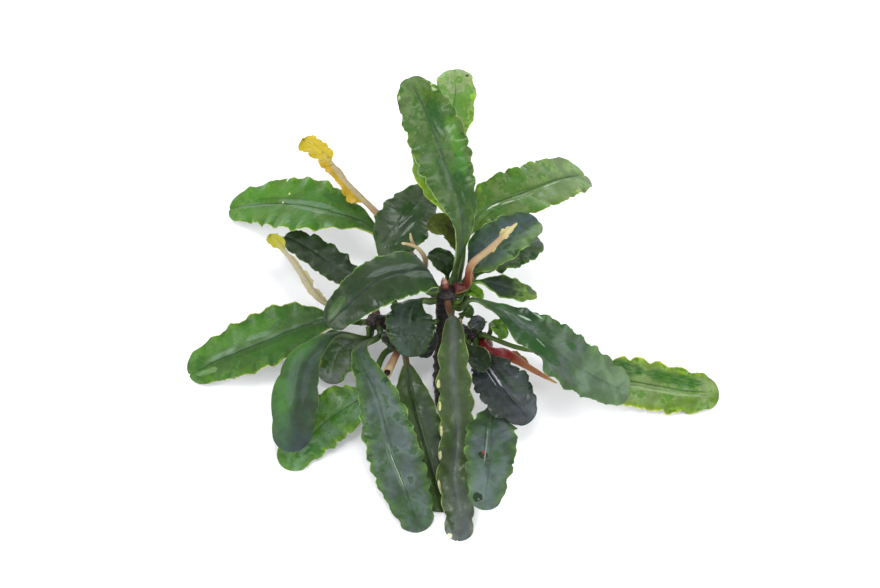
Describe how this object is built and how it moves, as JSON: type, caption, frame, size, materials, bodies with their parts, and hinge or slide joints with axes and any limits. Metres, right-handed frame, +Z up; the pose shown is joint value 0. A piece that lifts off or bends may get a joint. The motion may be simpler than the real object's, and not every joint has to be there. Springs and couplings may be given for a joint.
{
  "type": "bucephalandra",
  "caption": "Small aquarium plant, bare rooted: wavy-edged strap leaves and a few old stalks fan out from a short creeping rhizome.",
  "frame": {"origin": "middle of the flat underside of the rhizome, on the surface that the plant rests on", "axes": "+Z up; +Y towards the back, where the two tall leaves reach; +X to the right, where the longest low leaf lies"},
  "size_m": [0.1328, 0.113, 0.0475],
  "materials": {
    "leaf_bright": "satin, wet look",
    "leaf_deep": "satin, wet look",
    "leaf_slate": "satin, wet look",
    "leaf_olive": "satin, wet look",
    "leaf_dusk": "satin, wet look",
    "old_stalk": "dull",
    "bare_stalk": "dull",
    "red_stalk": "dull",
    "rhizome": "dull, damp"
  },
  "bodies": {
    "root": {"rhizome_main": "rhizome", "rhizome_left": "rhizome", "rhizome_front": "rhizome", "rhizome_right": "rhizome", "rhizome_back": "rhizome", "crown_bud": "bare_stalk", "cut_stalk": "bare_stalk", "brown_stalk": "bare_stalk", "forked_stub": "bare_stalk", "leaf_back_tall": "leaf_bright", "leaf_back_behind": "leaf_bright", "leaf_upper_right": "leaf_bright", "leaf_cupped_right": "leaf_deep", "leaf_wavy_right": "leaf_deep", "leaf_thin_right": "leaf_deep", "leaf_young_curled": "leaf_bright", "leaf_big_right": "leaf_slate", "leaf_far_right": "leaf_bright", "leaf_lower_right_dark": "leaf_dusk", "leaf_lower_right": "leaf_slate", "leaf_front_centre": "leaf_olive", "leaf_front_inner": "leaf_deep", "leaf_front_left": "leaf_slate", "leaf_left_low": "leaf_bright", "leaf_left_curved": "leaf_slate", "leaf_left_hanging": "leaf_dusk", "leaf_left": "leaf_bright", "leaf_centre_left": "leaf_slate", "leaf_upper_left": "leaf_bright", "leaf_upper_left_small": "leaf_deep", "leaf_upper_centre": "leaf_slate", "leaf_olive_small": "leaf_olive", "leaf_dark_small": "leaf_deep", "leaf_centre_lower": "leaf_deep", "leaf_centre_back": "leaf_dusk", "leaf_under_centre": "leaf_olive", "leaf_curl_middle": "leaf_olive", "leaf_curl_right": "leaf_bright", "leaf_spoon": "leaf_olive", "leaf_grey_right": "leaf_dusk", "old_stalk_upper_left": "old_stalk", "old_stalk_left": "old_stalk", "old_stalk_right": "old_stalk", "old_stalk_lower_right": "red_stalk"}
  },
  "joints": []
}
